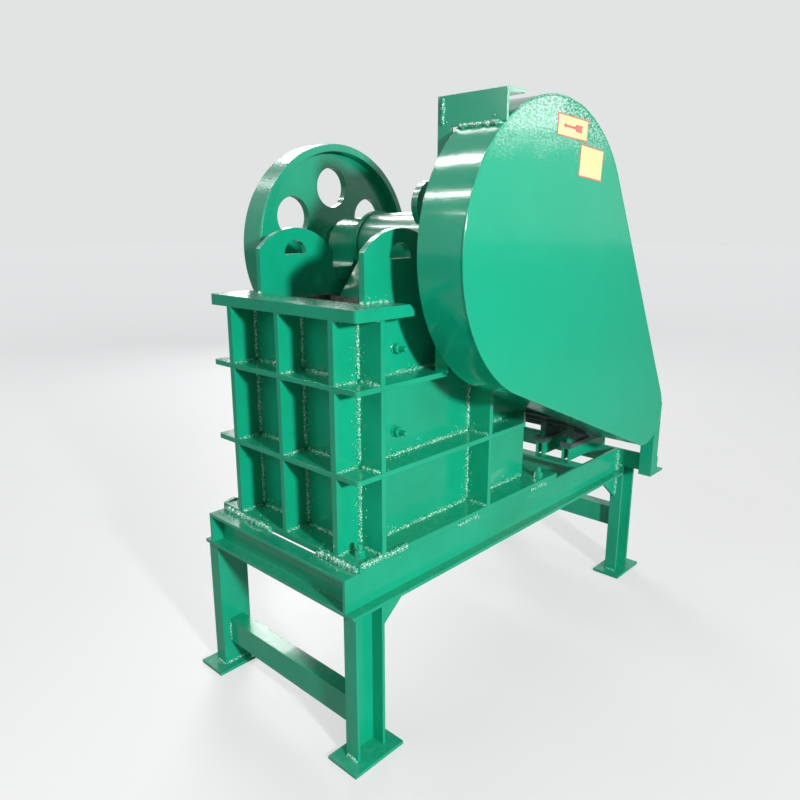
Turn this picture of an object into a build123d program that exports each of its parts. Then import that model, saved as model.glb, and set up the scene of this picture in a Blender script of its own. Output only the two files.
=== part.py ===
"""Jaw crusher with a fabricated body, on a steel stand, with its motor and belt guard.

Millimetres. X runs rearward, from the feed wall to the motor. Y runs along the eccentric shaft,
with the flywheel at +Y and the belt guard at -Y. Z is up from the floor. The origin is on the
floor, under the middle of the whole machine.
"""
import os
from math import acos, atan2, cos, hypot, pi, sin

from build123d import *

# Stand: angle-iron long beams, channel legs and cross members
stand_length = 1312
stand_height = 446
beam_line = 249
beam_leg = 33
beam_thickness = 8
channel_height = 86
channel_width = 38
channel_web = 6
channel_flange = 8
leg_line = 242
leg_inset = 8
rear_angle_height = 56
rear_angle_depth = 50
rear_angle_thickness = 7
foot_length = 150
foot_width = 90
foot_thickness = 8
gusset_length = 105
gusset_height = 85
gusset_thickness = 8
stretcher_height = 66
stretcher_depth = 42
stretcher_thickness = 7
stretcher_bottom = 70
rear_stretcher_bottom = 160

# Body, a welded box of thick plates
body_setback = 44
base_length = 790
base_thickness = 16
body_half_width = 257
body_height = 557
side_plate_half_gap = 172
side_plate_thickness = 16
side_plate_length = 712
rear_edge_height = 330
flange_thickness = 26
near_return_length = 169
far_return_length = 128
flange_end_slant = 14
wall_setback = 68
wall_thickness = 22
ring_thickness = 12
upper_ring_height = 384
lower_ring_height = 194
ring_end_slant = 99
rib_thickness = 13
flange_corner = 8
second_rib_setback = 450
rear_wall_thickness = 20
rear_wall_height = 250
discharge_front = 96
discharge_length = 330
discharge_half_width = 146

# Lifting ears, which carry the side plates up past the flange
ear_setback = 90
ear_corner_height = 105
ear_rear_setback = 322
ear_rear_height = 92
ear_arch_height = 154
ear_arch_setback = 205
hole_setback = 199
hole_height = 90
hole_radius = 34

# Shaft line
shaft_setback = 470
shaft_height = 1102
journal_radius = 38
eccentric_radius = 48
eccentricity = 8
running_gap = 0.05
shaft_reach = 410
shaft_near_end = 394
shaft_bevel = 3
eccentric_half_length = 161

# Bearing housings and their seats
housing_inner = 166
housing_outer = 268
housing_half_length = 135
housing_below = 80
housing_radius = 79
housing_foot_height = 34
housing_fillet = 16
housing_boss_radius = 62
housing_boss_length = 8
seat_thickness = 20
seat_rib_thickness = 14
seat_rib_height = 130

# Flywheel
flywheel_radius = 281
flywheel_inner_face = 306
flywheel_width = 78
rim_thickness = 20
web_thickness = 22
web_recess = 24
hub_radius = 66
wheel_hole_radius = 55
wheel_hole_circle = 165
wheel_hole_count = 6
wheel_bevel = 3

# Crusher pulley, motor pulley and belts
pulley_radius = 278
pulley_inner_face = 304
pulley_width = 84
pulley_rim = 26
pulley_web = 20
groove_count = 3
groove_pitch = 24
groove_depth = 13
groove_top = 18
groove_bottom = 10
motor_pulley_radius = 60
motor_inset = 136
motor_axis_height = 620
belt_gap = 0.6
belt_height = 11
belt_stand = 2

# Belt guard
guard_radius = 327
guard_tail_radius = 97
guard_far_edge = 286
guard_near_face = 404
guard_sheet = 3
bracket_setback = 262
bracket_leg = 62
bracket_thickness = 6
bracket_rise = 417
bracket_overhang = 6
bracket_post_outer = 272
bracket_post_width = 36
upright_corner = 390
upright_leg = 40
upright_thickness = 5
upright_top = 626

# Crushing chamber
fixed_jaw_thickness = 40
jaw_bottom_height = 52
jaw_top_drop = 16
tooth_count = 8
tooth_depth = 11
cheek_thickness = 20
cheek_overlap = 24
jaw_side_gap = 6
gape = 150
discharge_gap = 34
swing_plate_thickness = 38
jaw_slab = 34
jaw_rib_thickness = 20
jaw_inner_rib = 35
jaw_outer_rib = 110
barrel_radius = 84
barrel_half_length = 158
barrel_flange_radius = 90
barrel_flange_width = 14
eye_outer = 60
eye_inner = 40
eye_thickness = 20
eye_offset = 54
eye_setback = 20
eye_rise = 100

# Toggle and tension rod
toggle_height = 620
toggle_thickness = 22
toggle_half_width = 120
open_pivot_gap = 1
groove_depth_jaw = 18
groove_depth_block = 12
seat_setback = 368
seat_half_height = 38
seat_depth = 46
toggle_block_depth = 80
toggle_block_height = 90
rod_height = 520
rod_radius = 9
rod_eye_setback = 330
rod_eye_wall = 8
rod_eye_width = 24
rod_pin_radius = 9
rod_end_length = 36
rod_hole_gap = 1
spring_radius = 26
spring_length = 78
washer_thickness = 6
nut_length = 14
nut_flats = 30

# Motor, a foot-mounted machine on two slide rails
motor_body_radius = 104
motor_front = -262
motor_body_length = 300
motor_shaft_radius = 19
motor_shaft_reach = 392
motor_bore_depth = 40
motor_foot_height = 132
motor_foot_length = 190
motor_foot_width = 40
motor_foot_thickness = 14
motor_web_width = 150
motor_web_thickness = 20
shield_length = 16
cowl_length = 92
cowl_radius = 108
cowl_sheet = 3
cowl_round = 14
box_size = 92
box_height = 58
rail_reach = 93
rail_overlap = 10
rail_width = 26
rail_height = 42
rail_wall = 5
rail_spacing = 94
first_rail = -193
fin_count = 26
fin_height = 12
fin_thickness = 3

# Places worked out from the values above
stand_front = -stand_length / 2
stand_rear = stand_length / 2
body_front = stand_front + body_setback
base_top = stand_height + base_thickness
body_top = stand_height + body_height
flange_bottom = body_top - flange_thickness
side_outer = side_plate_half_gap + side_plate_thickness
shaft_x = body_front + shaft_setback
seat_top = shaft_height - housing_below
wall_front = body_front + wall_setback
wall_back = wall_front + wall_thickness
leg_top = stand_height - channel_height
rear_leg_top = stand_height - rear_angle_height
rear_line = stand_rear - leg_inset - channel_height
motor_x = rear_line - motor_inset
rail_front = motor_x - rail_reach
upper_ring_bottom = stand_height + upper_ring_height
lower_ring_bottom = stand_height + lower_ring_height
plate_rear = body_front + side_plate_length
barrel_z = shaft_height + eccentricity

os.makedirs("parts", exist_ok=True)


def write(piece, name):
    """Label a finished piece and write it as one STEP file."""
    piece.part.label = name
    export_step(piece.part, f"parts/{name}.step")


def upright_plane(y):
    """Plane square to Y at y, drawn with local x along +X and local y along +Z, facing -Y."""
    return Plane(origin=(0, y, 0), x_dir=(1, 0, 0), z_dir=(0, -1, 0))


def channel_section():
    """Channel with its web's back on the local y axis and its flanges towards local +x."""
    with BuildSketch() as section:
        with Locations((channel_width / 2, 0)):
            Rectangle(channel_width, channel_height)
        with Locations(((channel_width + channel_web) / 2, 0)):
            Rectangle(channel_width - channel_web, channel_height - 2 * channel_flange,
                      mode=Mode.SUBTRACT)
    return section.sketch


def channel_beam(plane, length):
    """Channel run of a given length along a plane's normal."""
    with BuildPart() as beam:
        with BuildSketch(plane):
            add(channel_section())
        extrude(amount=length)
    return beam


def angle_iron(plane, x_leg, y_leg, thickness, length):
    """Angle iron along a plane's normal, its corner at the origin and its legs along local x and y."""
    with BuildPart() as angle:
        with BuildSketch(plane):
            with BuildLine():
                Polyline((0, 0), (x_leg, 0), (x_leg, thickness), (thickness, thickness),
                         (thickness, y_leg), (0, y_leg), close=True)
            make_face()
        extrude(amount=length)
    return angle


# Long beams of unequal angle, their narrow legs outward at the bottom
for side, name in ((-1, "long_beam_near"), (1, "long_beam_far")):
    beam_start = stand_front if side > 0 else rear_line
    along = Plane(origin=(beam_start, side * beam_line, leg_top), x_dir=(0, side, 0),
                  z_dir=(side, 0, 0))
    write(angle_iron(along, beam_leg, channel_height, beam_thickness, rear_line - stand_front), name)

# Cross channels between the long beams, both open to the front; the rear one carries the motor rails
for web_back, name in ((stand_front + channel_width, "front_channel"),
                       (rail_front + rail_overlap, "motor_channel")):
    across_stand = Plane(origin=(web_back, -beam_line, stand_height - channel_height / 2),
                         x_dir=(-1, 0, 0), z_dir=(0, 1, 0))
    write(channel_beam(across_stand, 2 * beam_line), name)

# Rear cross angle on top of the rear legs, run on past the near beam to carry the guard's tail
leg_outer = leg_line + channel_width
rear_plane = Plane(origin=(rear_line, leg_outer, rear_leg_top), x_dir=(1, 0, 0), z_dir=(0, -1, 0))
write(angle_iron(rear_plane, rear_angle_depth, rear_angle_height, rear_angle_thickness,
                 leg_outer + upright_corner), "rear_angle")

# Legs, the same channel stood on end, each on a foot plate with a gusset under the beam
leg_middle = stand_rear - leg_inset - channel_height / 2
leg_places = [(x_side, y_side) for x_side in (-1, 1) for y_side in (-1, 1)]
for x_side, y_side in leg_places:
    stand_plane = Plane(origin=(x_side * leg_middle, y_side * leg_line, foot_thickness),
                        x_dir=(0, y_side, 0), z_dir=(0, 0, 1))
    leg = channel_beam(stand_plane, (leg_top if x_side < 0 else rear_leg_top) - foot_thickness)
    write(leg, f"leg_{'front' if x_side < 0 else 'rear'}_{'near' if y_side < 0 else 'far'}")

foot_y = leg_line + channel_width / 2
with BuildPart() as foot_plates:
    with Locations([(x * leg_middle, y * foot_y, foot_thickness / 2) for x, y in leg_places]):
        Box(foot_length, foot_width, foot_thickness)
write(foot_plates, "foot_plates")

with BuildPart() as leg_gussets:
    for x_side, y_side in leg_places:
        corner_x = x_side * rear_line
        with BuildSketch(upright_plane(y_side * beam_line)):
            with BuildLine():
                Polyline((corner_x, leg_top), (corner_x - x_side * gusset_length, leg_top),
                         (corner_x, leg_top - gusset_height), close=True)
            make_face()
        extrude(amount=-y_side * gusset_thickness)
write(leg_gussets, "leg_gussets")

# Stretchers between the legs, angle iron with one leg facing forward and the other on top
stretcher_setback = (channel_height - stretcher_depth) / 2
for legs_front, bottom, name in ((-leg_middle - channel_height / 2, stretcher_bottom, "front_stretcher"),
                                 (rear_line, rear_stretcher_bottom, "rear_stretcher")):
    stretcher_plane = Plane(origin=(legs_front + stretcher_setback, -leg_line, bottom + stretcher_height),
                            x_dir=(1, 0, 0), z_dir=(0, 1, 0))
    write(angle_iron(stretcher_plane, stretcher_depth, stretcher_height, stretcher_thickness,
                     2 * leg_line), name)

# Base plate of the body, with the discharge opening cut through it
with BuildPart() as base_plate:
    with BuildSketch(Plane.XY.offset(stand_height)):
        with Locations((body_front + base_length / 2, 0)):
            Rectangle(base_length, 2 * body_half_width)
        with Locations((body_front + discharge_front + discharge_length / 2, 0)):
            Rectangle(discharge_length, 2 * discharge_half_width, mode=Mode.SUBTRACT)
    extrude(amount=base_thickness)
write(base_plate, "base_plate")

# Side plates, whose tops run up through the flange as lifting ears
ear_front = body_front + ear_setback
ear_rear = body_front + ear_rear_setback
ear_top = (body_front + ear_arch_setback, body_top + ear_arch_height)
seat_end = shaft_x + housing_half_length
for side, name in ((-1, "side_plate_near"), (1, "side_plate_far")):
    with BuildPart() as side_plate:
        with BuildSketch(upright_plane(side * side_plate_half_gap)):
            with BuildLine():
                Polyline((ear_rear, body_top + ear_rear_height), (ear_rear, seat_top),
                         (seat_end, seat_top), (plate_rear, stand_height + rear_edge_height),
                         (plate_rear, base_top), (wall_front, base_top), (wall_front, flange_bottom),
                         (ear_front, flange_bottom), (ear_front, body_top + ear_corner_height))
                ThreePointArc((ear_front, body_top + ear_corner_height), ear_top,
                              (ear_rear, body_top + ear_rear_height))
            make_face()
            with BuildLine():
                hole_left = (body_front + hole_setback - hole_radius, body_top + hole_height)
                hole_right = (body_front + hole_setback + hole_radius, body_top + hole_height)
                hole_crown = (body_front + hole_setback, body_top + hole_height + hole_radius)
                ThreePointArc(hole_left, hole_crown, hole_right)
                Line(hole_right, hole_left)
            make_face(mode=Mode.SUBTRACT)
        extrude(amount=-side * side_plate_thickness)
    write(side_plate, name)


def cross_wall(x, thickness, height):
    """Plate standing square to X between the side plates, its front face at x."""
    with BuildPart(mode=Mode.PRIVATE) as wall:
        with Locations((x, -side_plate_half_gap, base_top)):
            Box(thickness, 2 * side_plate_half_gap, height, align=Align.MIN)
    return wall.part


# Front and rear walls between the side plates
with BuildPart() as front_wall:
    add(cross_wall(wall_front, wall_thickness, flange_bottom - base_top))
write(front_wall, "front_wall")

with BuildPart() as rear_wall:
    add(cross_wall(plate_rear - rear_wall_thickness, rear_wall_thickness, rear_wall_height))
    with Locations(Plane(origin=(plate_rear, 0, rod_height), z_dir=(1, 0, 0))):
        Hole(rod_radius + rod_hole_gap)
write(rear_wall, "rear_wall")

# Top flange: a front strip and two returns, which end in a slant
with BuildPart() as top_flange:
    with BuildSketch(Plane.XY.offset(flange_bottom)):
        with Locations((body_front + ear_setback / 2, 0)):
            Rectangle(ear_setback, 2 * body_half_width)
        for side, length in ((-1, near_return_length), (1, far_return_length)):
            with Locations((body_front + length / 2, side * (side_outer + body_half_width) / 2)):
                Rectangle(length, body_half_width - side_outer)
    extrude(amount=flange_thickness)
    upper_edges = top_flange.edges().filter_by(Axis.Y).group_by(Axis.Z)[-1]
    return_ends = upper_edges.filter_by(lambda edge: edge.center().X > ear_front + 1)
    chamfer(return_ends, length=flange_thickness / 2, length2=flange_end_slant)
    fillet(top_flange.edges().filter_by(Axis.Z).group_by(Axis.X)[0], radius=flange_corner)
write(top_flange, "top_flange")

# Ring bars, which wrap the body at two heights
with BuildPart() as front_ring_bars:
    for bottom in (lower_ring_bottom, upper_ring_bottom):
        with Locations((body_front + wall_setback / 2, 0, bottom + ring_thickness / 2)):
            Box(wall_setback, 2 * body_half_width, ring_thickness)
    fillet(front_ring_bars.edges().filter_by(Axis.Z).group_by(Axis.X)[0], radius=flange_corner)
write(front_ring_bars, "front_ring_bars")

for side, name in ((-1, "side_ring_bars_near"), (1, "side_ring_bars_far")):
    with BuildPart() as side_ring_bars:
        for bottom in (lower_ring_bottom, upper_ring_bottom):
            with BuildSketch(Plane.XY.offset(bottom)):
                with BuildLine():
                    Polyline((wall_front, side * side_outer), (wall_front, side * body_half_width),
                             (plate_rear - ring_end_slant, side * body_half_width),
                             (plate_rear, side * side_outer), close=True)
                make_face()
            extrude(amount=ring_thickness)
    write(side_ring_bars, name)

# Upright ribs, cut to fit between the base plate, the ring bars and the flange
tiers = ((base_top, lower_ring_bottom),
         (lower_ring_bottom + ring_thickness, upper_ring_bottom),
         (upper_ring_bottom + ring_thickness, flange_bottom))
rib_middle = (side_plate_half_gap + side_outer) / 2
with BuildPart() as front_ribs:
    for low, high in tiers:
        for y, thickness in ((-rib_middle, side_plate_thickness), (0, rib_thickness),
                             (rib_middle, side_plate_thickness)):
            with Locations((body_front, y - thickness / 2, low)):
                Box(wall_setback, thickness, high - low, align=Align.MIN)
write(front_ribs, "front_ribs")

side_rib_depth = body_half_width - side_outer
for side, name in ((-1, "side_ribs_near"), (1, "side_ribs_far")):
    with BuildPart() as side_ribs:
        for low, high in tiers:
            for setback in (wall_setback, second_rib_setback):
                if setback == second_rib_setback and high == flange_bottom:
                    continue
                with Locations((body_front + setback + rib_thickness / 2,
                                side * (side_outer + body_half_width) / 2, (low + high) / 2)):
                    Box(rib_thickness, side_rib_depth, high - low)
    write(side_ribs, name)


def toothed_outline(half_width, count, thickness):
    """Cross-section of a jaw plate, its teeth pointing to local -x and its back at local x = thickness."""
    pitch = 2 * half_width / count
    points = [(thickness, -half_width)]
    for index in range(count):
        start = -half_width + index * pitch
        points += [(tooth_depth, start), (0, start + 0.3 * pitch), (0, start + 0.7 * pitch)]
    points += [(tooth_depth, half_width), (thickness, half_width)]
    with BuildSketch() as outline:
        with BuildLine():
            Polyline(*points, close=True)
        make_face()
    return outline.sketch


# Crushing chamber: fixed jaw plate on the front wall, and cheek plates on the side plates
jaw_bottom = base_top + jaw_bottom_height
jaw_top = body_top - jaw_top_drop
chamber_half_width = side_plate_half_gap - cheek_thickness
fixed_face = wall_back + fixed_jaw_thickness
with BuildPart() as fixed_jaw_plate:
    with BuildSketch(Plane(origin=(fixed_face, 0, jaw_bottom), x_dir=(-1, 0, 0), z_dir=(0, 0, 1))):
        add(toothed_outline(chamber_half_width, tooth_count, fixed_jaw_thickness))
    extrude(amount=jaw_top - jaw_bottom)
write(fixed_jaw_plate, "fixed_jaw_plate")

face_top = Vector(fixed_face + gape, 0, jaw_top)
face_bottom = Vector(fixed_face + discharge_gap, 0, jaw_bottom)
face_run = face_top - face_bottom
face_up = face_run.normalized()
face_back = Vector(face_up.Z, 0, -face_up.X)

with BuildPart() as cheek_plates:
    for side in (-1, 1):
        with BuildSketch(upright_plane(side * side_plate_half_gap)):
            with BuildLine():
                Polyline((wall_back, jaw_bottom), (face_bottom.X + cheek_overlap, jaw_bottom),
                         (face_top.X + cheek_overlap, jaw_top), (wall_back, jaw_top), close=True)
            make_face()
        extrude(amount=side * cheek_thickness)
write(cheek_plates, "cheek_plates")

# Swing jaw: a casting with a barrel at its head, a slab behind the jaw plate, and ribs
swing_half_width = chamber_half_width - jaw_side_gap
face_plane = Plane(origin=face_bottom, x_dir=face_back, z_dir=face_up)
with BuildPart() as swing_jaw_plate:
    with BuildSketch(face_plane):
        add(toothed_outline(swing_half_width, tooth_count - 1, swing_plate_thickness))
    extrude(amount=face_run.length)
write(swing_jaw_plate, "swing_jaw_plate")


def from_face(along, depth):
    """Point (X, Z) at a distance up the jaw face and a depth behind it."""
    place = face_bottom + face_up * along + face_back * depth
    return place.X, place.Z


slab_back = swing_plate_thickness + jaw_slab
seat_z = toggle_height + eccentricity
seat_x = body_front + seat_setback
pin_x = body_front + rod_eye_setback
pin_z = rod_height + eccentricity
with BuildPart() as swing_jaw:
    with BuildSketch(upright_plane(swing_half_width)):
        with BuildLine():
            Polyline(from_face(0, swing_plate_thickness), from_face(0, slab_back),
                     from_face(face_run.length - slab_back, slab_back),
                     (shaft_x, barrel_z - barrel_radius), (shaft_x, barrel_z),
                     (shaft_x - 0.9 * barrel_radius, barrel_z - 0.4 * barrel_radius),
                     from_face(face_run.length, swing_plate_thickness), close=True)
        make_face()
    extrude(amount=2 * swing_half_width)
    for y in (-jaw_outer_rib, -jaw_inner_rib, jaw_inner_rib, jaw_outer_rib):
        with BuildSketch(upright_plane(y + jaw_rib_thickness / 2)):
            with BuildLine():
                Polyline(from_face(0, swing_plate_thickness + 1), (pin_x - 6, jaw_bottom - 18),
                         (seat_x - 8, rod_height - 4), (seat_x - 4, seat_z + seat_half_height),
                         (shaft_x + 0.6 * barrel_radius, barrel_z - 0.8 * barrel_radius),
                         (shaft_x, barrel_z),
                         from_face(face_run.length - slab_back, swing_plate_thickness + 1), close=True)
            make_face()
        extrude(amount=jaw_rib_thickness)
    with Locations((seat_x - seat_depth / 2, 0, seat_z)):
        Box(seat_depth, 2 * toggle_half_width + 2 * jaw_rib_thickness, 2 * seat_half_height)
    with BuildSketch(upright_plane(barrel_half_length)):
        with Locations((shaft_x, barrel_z)):
            Circle(barrel_radius)
    extrude(amount=2 * barrel_half_length)
    for y in (barrel_half_length, -barrel_half_length + barrel_flange_width):
        with BuildSketch(upright_plane(y)):
            with Locations((shaft_x, barrel_z)):
                Circle(barrel_flange_radius)
        extrude(amount=barrel_flange_width)
    with BuildSketch(upright_plane(jaw_inner_rib + jaw_rib_thickness / 2)):
        with Locations((pin_x, pin_z)):
            Circle(rod_pin_radius)
    extrude(amount=2 * jaw_inner_rib + jaw_rib_thickness)
    with BuildSketch(upright_plane(barrel_half_length)):
        with Locations((shaft_x, barrel_z)):
            Circle(eccentric_radius + running_gap)
    extrude(amount=2 * barrel_half_length, mode=Mode.SUBTRACT)
    groove_half = toggle_thickness / 2 + eccentricity + open_pivot_gap
    with Locations((seat_x, 0, seat_z)):
        Box(2 * groove_depth_jaw, 2 * swing_half_width, 2 * groove_half, mode=Mode.SUBTRACT)
write(swing_jaw, "swing_jaw")

with BuildPart() as jaw_lifting_eye:
    with BuildSketch(upright_plane(-eye_offset + eye_thickness / 2)):
        with Locations((shaft_x - eye_setback, barrel_z + eye_rise)):
            Circle(eye_outer)
            Circle(eye_inner, mode=Mode.SUBTRACT)
        with Locations((shaft_x, barrel_z)):
            Circle(barrel_radius, mode=Mode.SUBTRACT)
    extrude(amount=eye_thickness)
write(jaw_lifting_eye, "jaw_lifting_eye")

# Toggle plate, its rear seat block, and the tension rod with its spring
toggle_front = seat_x - groove_depth_jaw + eccentricity + open_pivot_gap
block_front = plate_rear - rear_wall_thickness - toggle_block_depth
toggle_rear = block_front + groove_depth_block
with BuildPart() as toggle_plate:
    with BuildSketch(upright_plane(toggle_half_width)):
        with Locations(((toggle_front + toggle_rear) / 2, toggle_height)):
            SlotOverall(toggle_rear - toggle_front, toggle_thickness)
    extrude(amount=2 * toggle_half_width)
write(toggle_plate, "toggle_plate")

with BuildPart() as toggle_block:
    with Locations((block_front, -side_plate_half_gap, toggle_height - toggle_block_height / 2)):
        Box(toggle_block_depth, 2 * side_plate_half_gap, toggle_block_height, align=Align.MIN)
    with BuildSketch(upright_plane(side_plate_half_gap)):
        with Locations((toggle_rear - toggle_thickness, toggle_height)):
            SlotOverall(2 * toggle_thickness, toggle_thickness)
    extrude(amount=2 * side_plate_half_gap, mode=Mode.SUBTRACT)
write(toggle_block, "toggle_block")

eye_hole = rod_pin_radius + eccentricity + open_pivot_gap
rod_end = plate_rear + spring_length + washer_thickness + rod_end_length
with BuildPart() as tension_rod:
    with BuildSketch(upright_plane(rod_eye_width / 2)):
        with Locations((pin_x, rod_height)):
            Circle(eye_hole + rod_eye_wall)
    extrude(amount=rod_eye_width)
    with BuildSketch(Plane(origin=(pin_x, 0, rod_height), z_dir=(1, 0, 0))):
        Circle(rod_radius)
    extrude(amount=rod_end - pin_x)
    with BuildSketch(upright_plane(rod_eye_width / 2)):
        with Locations((pin_x, rod_height)):
            Circle(eye_hole)
    extrude(amount=rod_eye_width, mode=Mode.SUBTRACT)
    for length in (0, nut_length + 1):
        nut_x = plate_rear + spring_length + washer_thickness + length
        with BuildSketch(Plane(origin=(nut_x, 0, rod_height), z_dir=(1, 0, 0))):
            RegularPolygon(nut_flats / 2, 6, major_radius=False)
        extrude(amount=nut_length)
    with BuildSketch(Plane(origin=(plate_rear + spring_length, 0, rod_height), z_dir=(1, 0, 0))):
        Circle(spring_radius + 2)
    extrude(amount=washer_thickness)
write(tension_rod, "tension_rod")

with BuildPart() as tension_spring:
    with BuildSketch(Plane(origin=(plate_rear, 0, rod_height), z_dir=(1, 0, 0))):
        Circle(spring_radius)
        Circle(rod_radius + rod_hole_gap + 6, mode=Mode.SUBTRACT)
    extrude(amount=spring_length)
write(tension_spring, "tension_spring")

# Bearing housings on their seats
for side, name in ((-1, "bearing_housing_near"), (1, "bearing_housing_far")):
    inner, outer = sorted((side * housing_inner, side * housing_outer))
    with BuildPart() as housing:
        with BuildSketch(upright_plane(outer)) as block:
            with Locations((shaft_x, shaft_height)):
                Circle(housing_radius)
            with Locations((shaft_x, (seat_top + shaft_height) / 2)):
                Rectangle(2 * housing_radius, housing_below)
            with Locations((shaft_x, seat_top + housing_foot_height / 2)):
                Rectangle(2 * housing_half_length, housing_foot_height)
            inner_corners = block.vertices().filter_by(
                lambda corner: abs(abs(corner.X - shaft_x) - housing_radius) < 1
                and abs(corner.Y - seat_top - housing_foot_height) < 1)
            fillet(inner_corners, radius=housing_fillet)
        extrude(amount=outer - inner)
        boss_start = outer + housing_boss_length if side > 0 else inner
        with BuildSketch(upright_plane(boss_start)):
            with Locations((shaft_x, shaft_height)):
                Circle(housing_boss_radius)
        extrude(amount=housing_boss_length)
        with BuildSketch(upright_plane(outer + housing_boss_length)):
            with Locations((shaft_x, shaft_height)):
                Circle(journal_radius + running_gap)
        extrude(amount=outer - inner + 2 * housing_boss_length, mode=Mode.SUBTRACT)
    write(housing, name)

with BuildPart() as bearing_seats:
    for side in (-1, 1):
        start, end = sorted((side * side_outer, side * housing_outer))
        with Locations((shaft_x - housing_half_length, start, seat_top - seat_thickness)):
            Box(2 * housing_half_length, end - start, seat_thickness, align=Align.MIN)
        for offset in (-1, 0, 1):
            rib_x = shaft_x + offset * (housing_half_length - seat_rib_thickness / 2)
            rib_top = seat_top - seat_thickness
            with BuildSketch(Plane(origin=(rib_x + seat_rib_thickness / 2, 0, 0), x_dir=(0, 1, 0),
                                   z_dir=(1, 0, 0))):
                with BuildLine():
                    Polyline((side * side_outer, rib_top), (side * body_half_width, rib_top),
                             (side * side_outer, rib_top - seat_rib_height), close=True)
                make_face()
            extrude(amount=-seat_rib_thickness)
write(bearing_seats, "bearing_seats")

# Eccentric shaft, with the crank raised at rest
with BuildPart() as eccentric_shaft:
    with BuildSketch(upright_plane(shaft_reach)):
        with Locations((shaft_x, shaft_height)):
            Circle(journal_radius)
    extrude(amount=shaft_reach + shaft_near_end)
    with BuildSketch(upright_plane(eccentric_half_length)):
        with Locations((shaft_x, barrel_z)):
            Circle(eccentric_radius)
    extrude(amount=2 * eccentric_half_length)
    ends = eccentric_shaft.edges().filter_by(GeomType.CIRCLE).group_by(Axis.Y)
    chamfer([ends[0][0], ends[-1][0]], length=shaft_bevel)
write(eccentric_shaft, "eccentric_shaft")

# Flywheel, with a recessed web and round holes
flywheel_outer_face = flywheel_inner_face + flywheel_width
web_outer_face = flywheel_outer_face - web_recess
with BuildPart() as flywheel:
    with BuildSketch(upright_plane(flywheel_outer_face)):
        with Locations((shaft_x, shaft_height)):
            Circle(flywheel_radius)
            Circle(flywheel_radius - rim_thickness, mode=Mode.SUBTRACT)
            Circle(hub_radius)
    extrude(amount=flywheel_width)
    chamfer(flywheel.edges().filter_by(lambda edge: abs(edge.radius - flywheel_radius) < 1
                                       if edge.geom_type == GeomType.CIRCLE else False),
            length=wheel_bevel)
    with BuildSketch(upright_plane(web_outer_face)):
        with Locations((shaft_x, shaft_height)):
            Circle(flywheel_radius - rim_thickness)
            with PolarLocations(wheel_hole_circle, wheel_hole_count, start_angle=30):
                Circle(wheel_hole_radius, mode=Mode.SUBTRACT)
    extrude(amount=web_thickness)
    with BuildSketch(upright_plane(flywheel_outer_face)):
        with Locations((shaft_x, shaft_height)):
            Circle(journal_radius)
    extrude(amount=flywheel_width, mode=Mode.SUBTRACT)
write(flywheel, "flywheel")


def groove_places(face):
    """Distances from the shaft's middle to the grooves of a pulley whose inner face is given."""
    first = face + pulley_width / 2 - groove_pitch * (groove_count - 1) / 2
    return [first + index * groove_pitch for index in range(groove_count)]


def grooved_pulley(radius, bore, rim, place):
    """Pulley for the drive belts, its web in the middle where the rim is thinner than the wheel."""
    outer = pulley_inner_face + pulley_width
    with BuildPart() as pulley:
        with BuildSketch(Plane.XY) as profile:
            with Locations((radius / 2, pulley_inner_face + pulley_width / 2)):
                Rectangle(radius, pulley_width)
            if rim < radius - bore:
                inset = (pulley_width - pulley_web) / 2
                for middle in (pulley_inner_face + inset / 2, outer - inset / 2):
                    with Locations(((hub_radius + radius - rim) / 2, middle)):
                        Rectangle(radius - rim - hub_radius, inset, mode=Mode.SUBTRACT)
            for middle in groove_places(pulley_inner_face):
                with BuildLine():
                    Polyline((radius, middle - groove_top / 2), (radius, middle + groove_top / 2),
                             (radius - groove_depth, middle + groove_bottom / 2),
                             (radius - groove_depth, middle - groove_bottom / 2), close=True)
                make_face(mode=Mode.SUBTRACT)
            with Locations((bore / 2, pulley_inner_face + pulley_width / 2)):
                Rectangle(bore, pulley_width, mode=Mode.SUBTRACT)
        revolve(axis=Axis.Y)
    return Pos(*place) * Rot(0, 0, 180) * pulley.part


with BuildPart() as crusher_pulley:
    add(grooved_pulley(pulley_radius, journal_radius, pulley_rim, (shaft_x, 0, shaft_height)))
write(crusher_pulley, "crusher_pulley")

with BuildPart() as motor_pulley:
    add(grooved_pulley(motor_pulley_radius, motor_shaft_radius, motor_pulley_radius,
                       (motor_x, 0, motor_axis_height)))
write(motor_pulley, "motor_pulley")

# Drive belts, closed loops that run in the grooves of both pulleys
belt_middle = belt_stand - belt_height / 2
belt_big = pulley_radius + belt_middle
belt_small = motor_pulley_radius + belt_middle
centre_run = hypot(motor_x - shaft_x, motor_axis_height - shaft_height)
centre_angle = atan2(motor_axis_height - shaft_height, motor_x - shaft_x)
wrap_angle = acos((belt_big - belt_small) / centre_run)


def on_pulley(x, z, radius, angle):
    """Point on a belt's path round a pulley, by its angle in the plane of the belt."""
    return x + radius * cos(angle), z + radius * sin(angle)


def belt_half_width(depth):
    """Half the width that a belt may have at a depth below its pulley's rim."""
    narrowing = (groove_top - groove_bottom) / 2 * depth / groove_depth
    return groove_top / 2 - narrowing - belt_gap


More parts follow.
